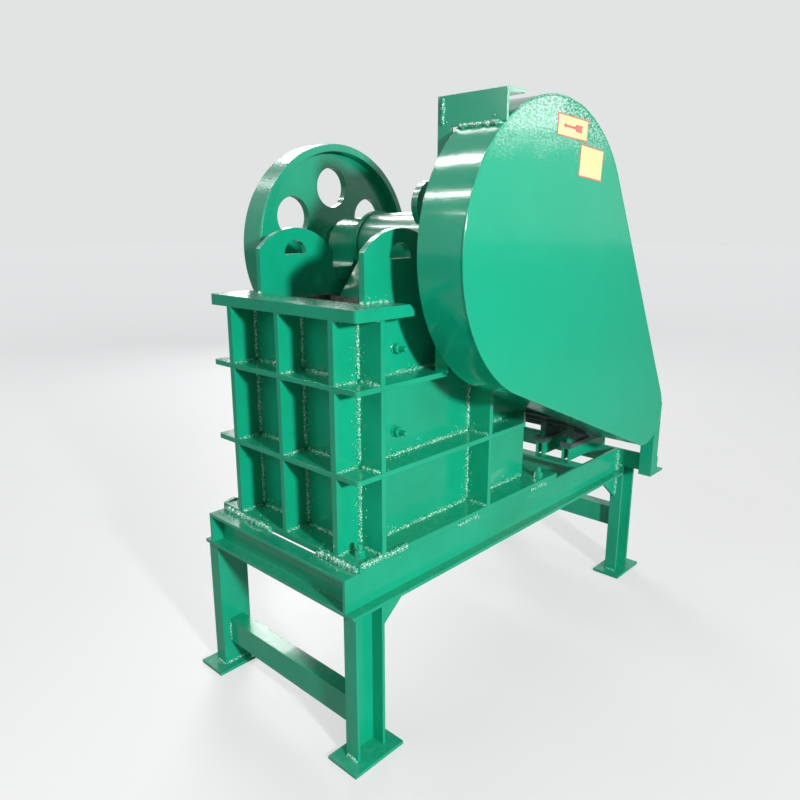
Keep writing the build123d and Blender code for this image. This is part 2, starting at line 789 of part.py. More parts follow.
with BuildPart() as drive_belts:
    for middle in groove_places(pulley_inner_face):
        upper = centre_angle + wrap_angle
        lower = centre_angle - wrap_angle
        with BuildLine(upright_plane(-middle)) as path:
            run = Line(on_pulley(motor_x, motor_axis_height, belt_small, upper),
                       on_pulley(shaft_x, shaft_height, belt_big, upper))
            ThreePointArc(on_pulley(shaft_x, shaft_height, belt_big, upper),
                          on_pulley(shaft_x, shaft_height, belt_big, centre_angle + pi),
                          on_pulley(shaft_x, shaft_height, belt_big, lower))
            Line(on_pulley(shaft_x, shaft_height, belt_big, lower),
                 on_pulley(motor_x, motor_axis_height, belt_small, lower))
            ThreePointArc(on_pulley(motor_x, motor_axis_height, belt_small, lower),
                          on_pulley(motor_x, motor_axis_height, belt_small, centre_angle),
                          on_pulley(motor_x, motor_axis_height, belt_small, upper))
        outward = Vector(cos(upper), 0, sin(upper))
        section_plane = Plane(origin=run @ 0, x_dir=(0, 1, 0), z_dir=run % 0)
        lift = 1 if section_plane.y_dir.dot(outward) > 0 else -1
        with BuildSketch(section_plane):
            with BuildLine():
                top_half = belt_half_width(-belt_stand)
                foot_half = belt_half_width(belt_height - belt_stand)
                Polyline((-top_half, lift * belt_height / 2), (top_half, lift * belt_height / 2),
                         (foot_half, -lift * belt_height / 2), (-foot_half, -lift * belt_height / 2),
                         close=True)
            make_face()
        sweep(path=path.line)
write(drive_belts, "drive_belts")

# Motor: finned frame, shields, feet, cowl, terminal box and shaft
motor_rear = motor_front + motor_body_length
core_radius = motor_body_radius - fin_height
foot_bottom = motor_axis_height - motor_foot_height
rail_places = (first_rail, first_rail + rail_spacing)
with BuildPart() as motor_frame:
    with BuildSketch(upright_plane(motor_rear - shield_length)):
        with Locations((motor_x, motor_axis_height)):
            Circle(core_radius)
            with PolarLocations(core_radius + fin_height / 2 - 2, fin_count):
                Rectangle(fin_height + 2, fin_thickness)
    extrude(amount=motor_body_length - 2 * shield_length)
    for start in (motor_rear, motor_front + shield_length):
        with BuildSketch(upright_plane(start)):
            with Locations((motor_x, motor_axis_height)):
                Circle(motor_body_radius)
        extrude(amount=shield_length)
    for y in rail_places:
        with Locations((motor_x, y, foot_bottom + motor_foot_thickness / 2)):
            Box(motor_foot_length, motor_foot_width, motor_foot_thickness)
        with Locations((motor_x, y, (foot_bottom + motor_axis_height) / 2)):
            Box(motor_web_width, motor_web_thickness, motor_foot_height)
    with BuildSketch(upright_plane(motor_front)):
        with Locations((motor_x, motor_axis_height)):
            Circle(motor_shaft_radius + running_gap)
    extrude(amount=-motor_bore_depth - open_pivot_gap, mode=Mode.SUBTRACT)
write(motor_frame, "motor_frame")

with BuildPart() as motor_shaft:
    with BuildSketch(upright_plane(motor_front + motor_bore_depth)):
        with Locations((motor_x, motor_axis_height)):
            Circle(motor_shaft_radius)
    extrude(amount=motor_shaft_reach + motor_front + motor_bore_depth)
write(motor_shaft, "motor_shaft")

with BuildPart() as fan_cowl:
    with BuildSketch(upright_plane(motor_rear + cowl_length)):
        with Locations((motor_x, motor_axis_height)):
            Circle(cowl_radius)
    extrude(amount=cowl_length)
    fillet(fan_cowl.edges().group_by(Axis.Y)[-1], radius=cowl_round)
    with BuildSketch(upright_plane(motor_rear + cowl_length - cowl_round)):
        with Locations((motor_x, motor_axis_height)):
            Circle(cowl_radius - cowl_sheet)
    extrude(amount=cowl_length - cowl_round, mode=Mode.SUBTRACT)
write(fan_cowl, "fan_cowl")

with BuildPart() as terminal_box:
    with Locations((motor_x, (motor_front + motor_rear) / 2, motor_axis_height + core_radius)):
        Box(box_size, box_size, box_height, align=(Align.CENTER, Align.CENTER, Align.MIN))
    with BuildSketch(upright_plane(motor_rear)):
        with Locations((motor_x, motor_axis_height)):
            Circle(motor_body_radius)
    extrude(amount=motor_body_length, mode=Mode.SUBTRACT)
write(terminal_box, "terminal_box")

# Slide rails under the motor, channels laid open downward, from the motor channel to the rear angle
with BuildPart() as motor_rails:
    for y in rail_places:
        with BuildSketch(Plane(origin=(rail_front, y, stand_height), x_dir=(0, 1, 0), z_dir=(1, 0, 0))):
            with Locations((0, rail_height / 2)):
                Rectangle(rail_width, rail_height)
            with Locations((0, (rail_height - rail_wall) / 2)):
                Rectangle(rail_width - 2 * rail_wall, rail_height - rail_wall, mode=Mode.SUBTRACT)
        extrude(amount=rear_line + rear_angle_thickness - rail_front)
write(motor_rails, "motor_rails")

# Belt guard, a sheet shell open on its inner side
guard_places = ((shaft_x, shaft_height, guard_radius), (motor_x, motor_axis_height, guard_tail_radius))
with BuildPart() as belt_guard:
    for inset, face, mode in ((0, guard_near_face, Mode.ADD),
                              (guard_sheet, guard_near_face - guard_sheet, Mode.SUBTRACT)):
        with BuildSketch(upright_plane(-guard_far_edge)):
            for x, z, radius in guard_places:
                with Locations((x, z)):
                    Circle(radius - inset)
            make_hull()
        extrude(amount=face - guard_far_edge, mode=mode)
write(belt_guard, "belt_guard")

# Bracket that holds the guard: a post beside the body, and an angle over the guard's rim
bracket_x = body_front + bracket_setback
bracket_top = body_top + bracket_rise
bracket_end = -guard_near_face - bracket_overhang
post_inner = bracket_post_width - bracket_post_outer
with BuildPart() as guard_bracket:
    with Locations((bracket_x, -bracket_post_outer, upper_ring_bottom + ring_thickness)):
        Box(bracket_thickness, bracket_post_width, bracket_top - upper_ring_bottom - ring_thickness,
            align=Align.MIN)
    with Locations((bracket_x, bracket_end, bracket_top - bracket_leg)):
        Box(bracket_thickness, post_inner - bracket_end, bracket_leg, align=Align.MIN)
    with Locations((bracket_x, bracket_end, bracket_top - bracket_thickness)):
        Box(bracket_leg, post_inner - bracket_end, bracket_thickness, align=Align.MIN)
    with BuildSketch(upright_plane(-guard_far_edge)):
        with Locations((shaft_x, shaft_height)):
            Circle(guard_radius)
    extrude(amount=guard_near_face - guard_far_edge, mode=Mode.SUBTRACT)
write(guard_bracket, "guard_bracket")

# Upright angle at the end of the rear cross angle, which holds the guard's tail
upright_x = motor_x + guard_tail_radius
upright_foot = Plane(origin=(upright_x, -upright_corner, rear_leg_top), x_dir=(1, 0, 0),
                     z_dir=(0, 0, 1))
write(angle_iron(upright_foot, rear_line - upright_x, upright_leg, upright_thickness,
                 upright_top - rear_leg_top), "guard_upright")
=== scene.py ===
# %% [markdown]
# # A jaw crusher, dressed around its engineering model
# This lesson dresses a small jaw crusher: a welded body of thick plates on a stand of angle and channel
# steel, with a flywheel on one side and a belt guard on the other. The solids come ready made and stay where
# they are. Everything here is looks: paint, weld beads, bolts, a coil spring, stickers, light and a camera.

# %% Load the frame
import math
import random

import bmesh
import bpy
from mathutils import Matrix, Vector


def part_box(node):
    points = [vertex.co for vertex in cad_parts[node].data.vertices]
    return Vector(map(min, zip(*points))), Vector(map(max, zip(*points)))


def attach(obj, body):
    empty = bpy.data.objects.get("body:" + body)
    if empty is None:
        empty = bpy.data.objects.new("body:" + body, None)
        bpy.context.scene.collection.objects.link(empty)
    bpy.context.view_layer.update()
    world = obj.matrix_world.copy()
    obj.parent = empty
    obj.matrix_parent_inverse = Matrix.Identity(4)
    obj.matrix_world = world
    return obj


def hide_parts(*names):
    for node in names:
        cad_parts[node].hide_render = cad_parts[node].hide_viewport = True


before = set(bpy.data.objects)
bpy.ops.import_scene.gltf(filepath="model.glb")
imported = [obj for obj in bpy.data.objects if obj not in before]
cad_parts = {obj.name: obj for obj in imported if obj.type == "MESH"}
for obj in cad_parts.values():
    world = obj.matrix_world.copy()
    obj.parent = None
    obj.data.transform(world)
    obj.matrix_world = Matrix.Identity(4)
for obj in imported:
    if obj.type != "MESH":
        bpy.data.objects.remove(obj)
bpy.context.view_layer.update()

# %% [markdown]
# ## Where things are
# The model's frame has its origin on the floor under the middle of the machine, X towards the motor, Y
# towards the flywheel, Z up. Drawings of such a machine measure from the front edge of the body, so a small
# helper turns those millimetres into the scene's metres. The places that several steps share have names.

# %% Millimetres from the front of the body
MM = 0.001
BODY_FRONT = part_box("base_plate")[0].x
SHAFT_X, SHAFT_Z = 470, 1102
MOTOR_X, MOTOR_Z = 1038, 620
# Outer face of a side plate and side edge of the base plate, from the middle, and the guard's outer face.
SIDE_FACE, BASE_EDGE, GUARD_FACE = 188, 257, -404
STAND_TOP, BASE_TOP = 446, 462
FLANGE_FOOT, FLANGE_TOP = 977, 1002


def at(x, y, z):
    """A place in metres from mm: x from the body's front edge, y from the middle, z from the floor."""
    return Vector((BODY_FRONT + x / 1000, y / 1000, z / 1000))


print("shaft at", at(SHAFT_X, 0, SHAFT_Z)[:], "motor at", at(MOTOR_X, 0, MOTOR_Z)[:])

# %% [markdown]
# ## The camera
# The photograph was taken from the front left, a little above the body's top. Its camera was worked out from
# many measured points, so it is set here by its place and by the three directions of its picture plane.

# %% Camera
CAMERA_PLACE = (-1.533, -1.243, 1.165)
camera_data = bpy.data.cameras.new("camera")
camera_data.lens = 31.43
camera_data.sensor_width = 36
camera_data.clip_end = 200
camera = bpy.data.objects.new("camera", camera_data)
bpy.context.scene.collection.objects.link(camera)
picture_right = Vector((0.68606, -0.72754, -0.00083)).normalized()
picture_ahead = Vector((0.70537, 0.66543, -0.24425)).normalized()
picture_up = picture_right.cross(picture_ahead).normalized()
turn = Matrix((picture_right, picture_up, -picture_ahead)).transposed()
camera.matrix_world = Matrix.Translation(CAMERA_PLACE) @ turn.to_4x4()
bpy.context.scene.camera = camera
bpy.context.scene.view_settings.view_transform = "Standard"
print("camera lens", camera_data.lens)

# %% [markdown]
# ## Shader maths as Python
# A material's nodes read best as formulas. The small class below wraps one shader socket, so that
# `0.3 + 0.1 * spots` adds its own Math nodes. A second class holds one material and has a single method that
# makes any other node.

# %% A socket that works like a number


class Wire:
    """One output socket of a shader, for use in Python formulas."""

    def __init__(self, finish, socket):
        self.finish = finish
        self.socket = socket

    def join(self, operation, first, second=0.0):
        return self.finish.node("ShaderNodeMath", {"operation": operation}, {0: first, 1: second})

    def __add__(self, other):
        return self.join("ADD", self, other)

    def __radd__(self, other):
        return self.join("ADD", other, self)

    def __sub__(self, other):
        return self.join("SUBTRACT", self, other)

    def __rsub__(self, other):
        return self.join("SUBTRACT", other, self)

    def __mul__(self, other):
        return self.join("MULTIPLY", self, other)

    def __rmul__(self, other):
        return self.join("MULTIPLY", other, self)

    def __truediv__(self, other):
        return self.join("DIVIDE", self, other)

    def __pow__(self, other):
        return self.join("POWER", self, other)


print("a Wire takes +, -, *, / and **")

# %% A material and its one node-making method


class Finish:
    """A material, or the world around the machine, under construction."""

    def __init__(self, name, world=False):
        self.material = (bpy.data.worlds if world else bpy.data.materials).new(name)
        self.material.use_nodes = True
        self.tree = self.material.node_tree
        self.shader = self.tree.nodes["Background" if world else "Principled BSDF"]

    def node(self, kind, settings, sockets, output=0):
        """Adds a node: its settings first, then the values or links of its sockets."""
        made = self.tree.nodes.new(kind)
        for key, value in settings.items():
            if key == "stops":
                self.stops(made.color_ramp, value)
            else:
                setattr(made, key, value)
        for key, value in sockets.items():
            self.feed(made.inputs[key], value)
        return Wire(self, made.outputs[output])

    def feed(self, socket, value):
        """Links a socket to a wire, or sets it to a plain value."""
        if isinstance(value, Wire):
            self.tree.links.new(value.socket, socket)
        else:
            socket.default_value = value

    def stops(self, ramp, stops):
        """Sets a colour ramp from (position, grey) pairs."""
        while len(ramp.elements) > len(stops):
            ramp.elements.remove(ramp.elements[-1])
        while len(ramp.elements) < len(stops):
            ramp.elements.new(0.5)
        for element, (position, grey) in zip(ramp.elements, stops):
            element.position = position
            element.color = (grey, grey, grey, 1)

    def place(self, stretch=(1, 1, 1)):
        """Position on the object, in metres, stretched along each axis."""
        spot = self.node("ShaderNodeTexCoord", {}, {}, output="Object")
        return self.node("ShaderNodeVectorMath", {"operation": "MULTIPLY"}, {0: spot, 1: stretch})

    def axis(self, letter):
        """One coordinate of the position, in metres."""
        return self.node("ShaderNodeSeparateXYZ", {}, {0: self.place()}, output=letter)

    def facing(self, letter):
        """How squarely the surface faces along one axis, from -1 to 1."""
        normal = self.node("ShaderNodeNewGeometry", {}, {}, output="Normal")
        return self.node("ShaderNodeSeparateXYZ", {}, {0: normal}, output=letter)

    def noise(self, scale, detail=3.0, rough=0.5, stretch=(1, 1, 1)):
        """Cloudy values from 0 to 1; scale is in features per metre."""
        return self.node("ShaderNodeTexNoise", {}, {"Vector": self.place(stretch), "Scale": scale,
                                                    "Detail": detail, "Roughness": rough})

    def ramp(self, value, *stops):
        """The value read off a ramp of (position, grey) stops."""
        return self.node("ShaderNodeValToRGB", {"stops": stops}, {"Fac": value})

    def mix(self, mask, first, second):
        """First colour where the mask is 0, second where it is 1."""
        first = (*first, 1) if isinstance(first, tuple) else first
        second = (*second, 1) if isinstance(second, tuple) else second
        return self.node("ShaderNodeMix", {"data_type": "RGBA"}, {0: mask, 6: first, 7: second}, output=2)

    def bump(self, height, distance, strength=1.0, under=None):
        """A relief this deep in metres, on top of the one under it."""
        sockets = {"Height": height, "Distance": distance, "Strength": strength}
        if under is not None:
            sockets["Normal"] = under
        return self.node("ShaderNodeBump", {}, sockets)

    def finish(self, colour, rough, normal=None, metal=0.0, **constants):
        """Feeds the shader and returns the material."""
        self.feed(self.shader.inputs["Base Color"], colour)
        self.feed(self.shader.inputs["Roughness"], rough)
        self.feed(self.shader.inputs["Metallic"], metal)
        if normal is not None:
            self.feed(self.shader.inputs["Normal"], normal)
        for key, value in constants.items():
            self.shader.inputs[key.replace("_", " ").title()].default_value = value
        return self.material


print("a Finish can", [name for name in vars(Finish) if not name.startswith("_")])

# %% Colours as a picture editor gives them


def srgb(red, green, blue):
    """The linear values that shaders use, from a picture editor's 0 to 255."""
    def channel(value):
        value /= 255
        return value / 12.92 if value <= 0.04045 else ((value + 0.055) / 1.055) ** 2.4
    return channel(red), channel(green), channel(blue)


print("middle grey in linear values:", srgb(128, 128, 128))

# %% [markdown]
# ## Green enamel
# The machine is sprayed with one gloss green enamel, over plate that was ground and wiped by hand. Up close
# the paint has orange peel, thin and pale patches, and fine dust on flat tops; on the flange's top a heavier
# dusting is also a painted sheen. High on the guard, and on the flange, the spray landed half dry and left a
# rough patch of dark specks, and light specks among them that are painted glints. Cast pieces show a
# coarser skin under the same paint, and weld beads glitter, partly from pale specks painted on as glints.

# %% A patch of dry spray, with painted glints
ENAMEL = srgb(16, 170, 131)
ENAMEL_THIN = srgb(8, 148, 110)
ENAMEL_PALE = srgb(40, 186, 150)
ENAMEL_PIT = srgb(7, 108, 82)
DUST_AND_SHEEN = srgb(150, 175, 160)
PAINTED_GLINT = srgb(214, 246, 232)
PEBBLE = 0.0012


def dry_spray(paint, colour, normal, side, height):
    """Adds dark specks and light specks painted as glints above a ragged line at this height in metres,
    on faces that look along this axis.
    """
    ragged = paint.axis("Z") + 0.10 * paint.noise(9.0, 4.0, 0.7) + 0.05 * paint.noise(60.0, 2.0, 0.6)
    squarely = paint.facing(side)
    patch = paint.ramp((ragged - height) / 0.10, (0.0, 0.0), (1.0, 1.0))
    patch = patch * paint.ramp(squarely * squarely, (0.8, 0.0), (0.9, 1.0))
    specks = paint.noise(225.0, 2.0, 0.7, (0.55, 1, 1))
    pits = paint.ramp(specks, (0.41, 1.0), (0.49, 0.0)) * patch
    # Painted highlight: the light specks are glint colour laid into the paint.
    painted_glint_specks = paint.ramp(specks, (0.50, 0.0), (0.58, 1.0)) * patch
    colour = paint.mix(pits * 0.85, colour, ENAMEL_PIT)
    colour = paint.mix(painted_glint_specks * 0.55, colour, PAINTED_GLINT)
    return colour, paint.bump(paint.noise(240.0, 2.0, 0.6) * patch, PEBBLE, 1.0, normal)


print("dry specks stand", PEBBLE, "m proud")

# %% Enamel for plates, castings and welds
EDGE_ROUND = 0.0022


def enamel(name, skin, skin_scale, gloss=0.14, dust_and_sheen=0.12, patchy=1.0, peel=0.00025, painted_glint=0.0, dry=None):
    """Gloss green paint on metal whose skin is this deep in metres, with this many grains a metre.

    dry is the axis that a patch of dry spray looks along and the height in metres where it starts.
    """
    paint = Finish(name)
    cloud = paint.noise(5.0, 4.0, 0.6)
    fine = paint.noise(70.0, 3.0, 0.55)
    thin = paint.ramp(cloud, (0.35, 0.0), (0.72, 1.0)) * (0.7 * patchy)
    colour = paint.mix(thin, ENAMEL, ENAMEL_THIN)
    pale = paint.ramp(paint.noise(2.3, 3.0, 0.5, (1.0, 1.3, 0.6)), (0.5, 0.0), (0.8, 1.0))
    colour = paint.mix(pale * (0.35 * patchy), colour, ENAMEL_PALE)
    # Dust on flat tops; where its share is raised, as on the flange, it is also a painted sheen on the top.
    top = paint.ramp(paint.facing("Z"), (0.6, 0.0), (0.95, 1.0))
    dust_and_sheen_mask = top * paint.ramp(fine, (0.45, 0.0), (0.75, 1.0)) * dust_and_sheen
    colour = paint.mix(dust_and_sheen_mask, colour, DUST_AND_SHEEN)
    rough = gloss + 0.1 * cloud + 0.3 * dust_and_sheen_mask
    normal = paint.node("ShaderNodeBevel", {"samples": 4}, {"Radius": EDGE_ROUND})
    normal = paint.bump(paint.noise(14.0, 2.0, 0.5), 0.002, 0.35, normal)
    normal = paint.bump(paint.noise(skin_scale, 4.0, 0.6), skin, 0.6, normal)
    normal = paint.bump(paint.noise(210.0, 2.0, 0.5), peel, 0.5, normal)
    if dry:
        colour, normal = dry_spray(paint, colour, normal, *dry)
    if painted_glint:
        # Painted highlight: pale specks painted on as glints, strongest on the weld beads.
        painted_sparks = paint.ramp(paint.noise(300.0, 2.0, 0.5), (0.52, 0.0), (0.60, 1.0))
        colour = paint.mix(painted_sparks * painted_glint, colour, PAINTED_GLINT)
    return paint.finish(colour, rough, normal, coat_weight=0.3, coat_roughness=0.06)


plate_enamel = enamel("plate_enamel", 0.0004, 45.0)
# The flange's heavier dust is partly real dust and partly a painted sheen; its light dry specks are painted
# glints.
flange_enamel = enamel("flange_enamel", 0.0004, 45.0, dust_and_sheen=0.35, dry=("Z", 1.02))
cast_enamel = enamel("cast_enamel", 0.0007, 120.0, gloss=0.2)
sheet_enamel = enamel("sheet_enamel", 0.0003, 22.0, gloss=0.08, patchy=0.25, peel=0.0003, dry=("Y", 1.37))
weld_enamel = enamel("weld_enamel", 0.0018, 260.0, gloss=0.05, dust_and_sheen=0.0, painted_glint=0.8)
bolt_enamel = enamel("bolt_enamel", 0.0003, 200.0, gloss=0.06, dust_and_sheen=0.0)
print("six enamels made")

# %% [markdown]
# ## Bare and dark metals
# The shaft is turned and bright, the jaw plates are cast manganese steel with a dark skin that rubs bright
# on the teeth, the pulleys are dull iron, and the motor wears its maker's grey-green.

# %% Turned steel and cast iron


def turned_steel(name, colour, rough):
    """Bright metal with fine marks round the axis of the lathe, which is Y here."""
    metal = Finish(name)
    rings = metal.noise(30.0, 3.0, 0.6, (1.0, 40.0, 1.0))
    stain = metal.ramp(metal.noise(18.0, 4.0, 0.6), (0.45, 0.0), (0.7, 1.0))
    tint = metal.mix(stain * 0.4, colour, tuple(value * 0.55 for value in colour))
    return metal.finish(tint, rough + 0.15 * rings, metal.bump(rings, 0.0002, 0.5), metal=1.0)


def cast_iron(name, dark, worn, wear):
    """Dark cast metal, rubbed brighter in patches."""
    metal = Finish(name)
    grain = metal.noise(160.0, 4.0, 0.65)
    rub = metal.ramp(metal.noise(12.0, 5.0, 0.65), (0.42, 0.0), (0.62, 1.0)) * wear
    tint = metal.mix(rub, dark, worn)
    return metal.finish(tint, 0.72 - 0.3 * rub, metal.bump(grain, 0.0008, 0.7), metal=0.35 + 0.6 * rub)


bright_steel = turned_steel("bright_steel", (0.56, 0.56, 0.57), 0.24)
jaw_steel = cast_iron("jaw_steel", (0.045, 0.04, 0.036), (0.32, 0.31, 0.30), 0.8)
toggle_iron = cast_iron("toggle_iron", (0.05, 0.05, 0.05), (0.2, 0.19, 0.18), 0.4)
pulley_iron = cast_iron("pulley_iron", (0.07, 0.07, 0.072), (0.36, 0.36, 0.36), 0.5)
spring_steel = turned_steel("spring_steel", (0.10, 0.10, 0.105), 0.35)
print("five metals made")

# %% Motor paint and belt rubber
SLOT_PITCH = 0.011
SPOKE_HALF = 0.006
SLOT_SHADE = (0.006, 0.007, 0.007)


def motor_enamel(name, cowl=None):
    """Satin grey-green; a fan cowl, given as its box, gets ring slots in the end that draws in air,
    painted near black as the shade inside the openings, with a bump.
    """
    paint = Finish(name)
    cloud = paint.noise(9.0, 4.0, 0.6)
    tint = paint.mix(paint.ramp(cloud, (0.4, 0.0), (0.7, 1.0)), srgb(84, 106, 103), srgb(70, 90, 88))
    normal = paint.bump(paint.noise(300.0), 0.0003, 0.5)
    if cowl:
        low, high = cowl
        x = paint.axis("X") - (low.x + high.x) / 2
        z = paint.axis("Z") - (low.z + high.z) / 2
        reach = (x * x + z * z) ** 0.5
        wave = reach.join("SINE", reach * (2 * math.pi / SLOT_PITCH))
        rings = paint.ramp(wave, (0.1, 0.0), (0.3, 1.0))
        inside = paint.ramp(reach / (high.x - low.x), (0.36, 1.0), (0.37, 0.0))
        at_end = paint.ramp((paint.axis("Y") - high.y) * 1000 + 2.0, (0.0, 0.0), (1.0, 1.0))
        nearest = reach.join("MINIMUM", x.join("ABSOLUTE", x), z.join("ABSOLUTE", z))
        slots = rings * inside * at_end * nearest.join("GREATER_THAN", nearest, SPOKE_HALF)
        # Painted shade: the slots are coloured near black for the dark inside of the openings.
        tint = paint.mix(slots, tint, SLOT_SHADE)
        normal = paint.bump(1 - slots, 0.002, 0.8, normal)
    return paint.finish(tint, 0.42 + 0.15 * cloud, normal)


motor_paint = motor_enamel("motor_paint")
cowl_paint = motor_enamel("cowl_paint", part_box("fan_cowl"))

belt = Finish("belt_rubber")
belt_cloud = belt.noise(60.0, 3.0, 0.6)
belt_tint = belt.mix(belt_cloud, (0.012, 0.012, 0.012), (0.035, 0.034, 0.033))
belt_rubber = belt.finish(belt_tint, 0.75 + 0.1 * belt_cloud, belt.bump(belt.noise(900.0), 0.0002, 0.6))
print("motor paint and rubber made")

# %% [markdown]
# ## Dressing the solids
# Each solid keeps its shape and gets its finish by name. Most of the machine is plate, so plate enamel is
# the default, and the table lists only what differs.

# %% Give every solid its finish
NODE_FINISH = {
    "belt_guard": sheet_enamel, "top_flange": flange_enamel,
    "flywheel": cast_enamel, "swing_jaw": cast_enamel, "jaw_lifting_eye": cast_enamel,
    "bearing_housing_near": cast_enamel, "bearing_housing_far": cast_enamel, "toggle_block": cast_enamel,
    "eccentric_shaft": bright_steel, "motor_shaft": bright_steel, "tension_rod": bright_steel,
    "fixed_jaw_plate": jaw_steel, "swing_jaw_plate": jaw_steel, "cheek_plates": jaw_steel,
    "toggle_plate": toggle_iron, "tension_spring": spring_steel,
    "crusher_pulley": pulley_iron, "motor_pulley": pulley_iron, "drive_belts": belt_rubber,
    "motor_frame": motor_paint, "fan_cowl": cowl_paint, "terminal_box": motor_paint,
}
for name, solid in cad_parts.items():
    solid.data.materials.clear()
    solid.data.materials.append(NODE_FINISH.get(name, plate_enamel))
print("dressed", len(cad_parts), "solids")

# %% [markdown]
# ## Small hardware from rings
# Bolts, nuts, washers and gland nuts are all stacks of rings on one axis: a ring is a circle or a polygon,
# and the skin between rings is a strip of faces. A wire or a bead is the same with its rings along a path.
# One class gathers such skins into one mesh, so that a whole set of bolts is one piece. Making rings by hand
# gives real chamfers, which a plain primitive lacks.

# %% Rings that become a mesh


class Shape:
    """Points and faces that are gathered into one mesh."""

    def __init__(self):
        self.points = []
        self.faces = []

    def join(self, rings, caps=True):
        """Skins rings of equal size in their order, and closes both ends."""
        first, size = len(self.points), len(rings[0])
        for ring in rings:
            self.points.extend(ring)
        for row in range(len(rings) - 1):
            for step in range(size):
                near, far = first + row * size, first + (row + 1) * size
                after = (step + 1) % size
                self.faces.append((near + step, near + after, far + after, far + step))
        if caps:
            self.faces.append(tuple(range(first + size - 1, first - 1, -1)))
            self.faces.append(tuple(range(first + (len(rings) - 1) * size, first + len(rings) * size)))

    def mesh(self, name, smooth=False):
        """The mesh, with every face turned outwards."""
        made = bpy.data.meshes.new(name)
        made.from_pydata([tuple(point) for point in self.points], [], self.faces)
        made.validate()
        shaper = bmesh.new()
        shaper.from_mesh(made)
        bmesh.ops.recalc_face_normals(shaper, faces=shaper.faces)
        shaper.to_mesh(made)
        shaper.free()
        made.polygons.foreach_set("use_smooth", [smooth] * len(made.polygons))
        return made


print("a Shape can", [name for name in vars(Shape) if not name.startswith("_")])

# %% A shape that becomes a named piece


def piece(name, shape, finish, body="frame", smooth=False):
    """Adds a shape to the machine as a named piece that rides on a body."""
    made = bpy.data.objects.new(name, shape.mesh(name, smooth))
    bpy.context.scene.collection.objects.link(made)
    made.data.materials.append(finish)
    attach(made, body)
    print(name, "has", len(made.data.polygons), "faces")
    return made


# %% Rings and stacks
Y_AXIS = Vector((0, 1, 0))


def square_to(axis):
    """The unit axis with two directions square to it and to each other."""
    axis = Vector(axis).normalized()
    side = axis.orthogonal().normalized()
    return axis, side, axis.cross(side)


def hoop(centre, side, across, reach, corners):
    """A ring of points this many mm from its centre."""
    ring = []
    for step in range(corners):
        angle = 2 * math.pi * step / corners
        ring.append(centre + (side * math.cos(angle) + across * math.sin(angle)) * reach * MM)
    return ring


def stack(shape, foot, axis, levels, around=24):
    """Adds one closed body. A level is its height and half width in mm and its corners, 0 for a circle."""
    axis, side, across = square_to(axis)
    rings = []
    for height, reach, corners in levels:
        ring = []
        for step in range(around):
            angle = 2 * math.pi * step / around
            length = reach * MM
            if corners:
                sector = 2 * math.pi / corners
                length /= math.cos(angle % sector - sector / 2)
            spoke = side * math.cos(angle) + across * math.sin(angle)
            ring.append(foot + axis * height * MM + spoke * length)
        rings.append(ring)
    shape.join(rings)


print("four points a metre out:", [tuple(round(value, 3) for value in point)
                                   for point in hoop(Vector(), Vector((1, 0, 0)), Y_AXIS, 1000, 4)])

# %% A bolt from three stacks
WASHER_HEIGHT, NUT_HEIGHT = 0.13, 0.6


def bolt(shape, foot, axis, flats, stick):
    """Adds a washer, a nut this wide across its flats, and the bolt's end, standing on a face at foot."""
    half, thread = flats / 2, flats * 0.3
    base = flats * WASHER_HEIGHT
    top = base + flats * NUT_HEIGHT
    stack(shape, foot, axis, [(0, half * 1.32, 0), (base * 0.8, half * 1.32, 0), (base, half * 1.24, 0)])
    stack(shape, foot, axis, [(base, half * 0.93, 0), (base + 0.06 * flats, half, 6),
                              (top - 0.1 * flats, half, 6), (top, half * 0.93, 0)])
    stack(shape, foot, axis, [(top - 1, thread, 0), (top + stick - 1.5, thread, 0),
                              (top + stick, thread - 1.5, 0)])


print("a 21 mm nut is", round(21 * NUT_HEIGHT, 1), "mm high")

# %% [markdown]
# ## Bolts on the body, the stand and the motor
# Long studs hold the wear plates inside the chamber, so their nuts stand on the outside of the side plates.
# Other bolts hold the base plate to the stand, the motor's feet to its rails, the guard to its upright and
# the covers to the bearing housings. All of them are painted over with the rest.

# %% Studs, base bolts, cover bolts and motor bolts
STUDS = ((181, 900), (181, 708))
BASE_BOLTS = ((34, 222), (725, 235))
COVER_FACE, COVER_CIRCLE = 268, 70.5
body_bolts = Shape()
for side in (-1, 1):
    for x, z in STUDS:
        bolt(body_bolts, at(x, side * SIDE_FACE, z), (0, side, 0), 21, 20)
    for x, y in BASE_BOLTS:
        bolt(body_bolts, at(x, side * y, BASE_TOP), (0, 0, 1), 21, 14)
    for step in range(6):
        angle = math.radians(30 + 60 * step)
        ahead, up = COVER_CIRCLE * math.cos(angle), COVER_CIRCLE * math.sin(angle)
        spot = at(SHAFT_X + ahead, side * COVER_FACE, SHAFT_Z + up)
        stack(body_bolts, spot, (0, side, 0), [(0, 7, 6), (6, 7, 6), (7, 6.4, 0)])
piece("body_bolts", body_bolts, bolt_enamel)

FEET_TOP = 502
motor_bolts = Shape()
for x in (963, 1113):
    for y in (-193, -99):
        bolt(motor_bolts, at(x, y, FEET_TOP), (0, 0, 1), 17, 9)
piece("motor_bolts", motor_bolts, bolt_enamel)

guard_bolts = Shape()
bolt(guard_bolts, at(1140, -368, 600), (1, 0, 0), 15, 6)
piece("guard_bolts", guard_bolts, bolt_enamel)

# %% [markdown]
# ## Weld beads
# The body is welded by hand with heavy beads, and the paint over them glitters, partly from highlight specks
# painted into its colour. A bead is a chain of rings along a seam, each a little larger or smaller than the
# last, as the pool froze. Droplets of spatter sit on the two plates beside it. A bump texture alone would
# vanish from the side, so the beads are real shapes. The random numbers start from a fixed seed, so that
# every run makes the same beads.

# %% One bead with its spatter
rng = random.Random(7)
BEAD_PITCH = 0.0036
DROPLETS_PER_METRE = 90


def droplet(shape, spot, size):
    """A drop of spatter: three small rings and their caps."""
    stack(shape, spot - Vector((0, 0, size * MM)), (0, 0, 1),
          [(0, size * 0.6, 0), (size, size, 0), (size * 2, size * 0.4, 0)], 5)


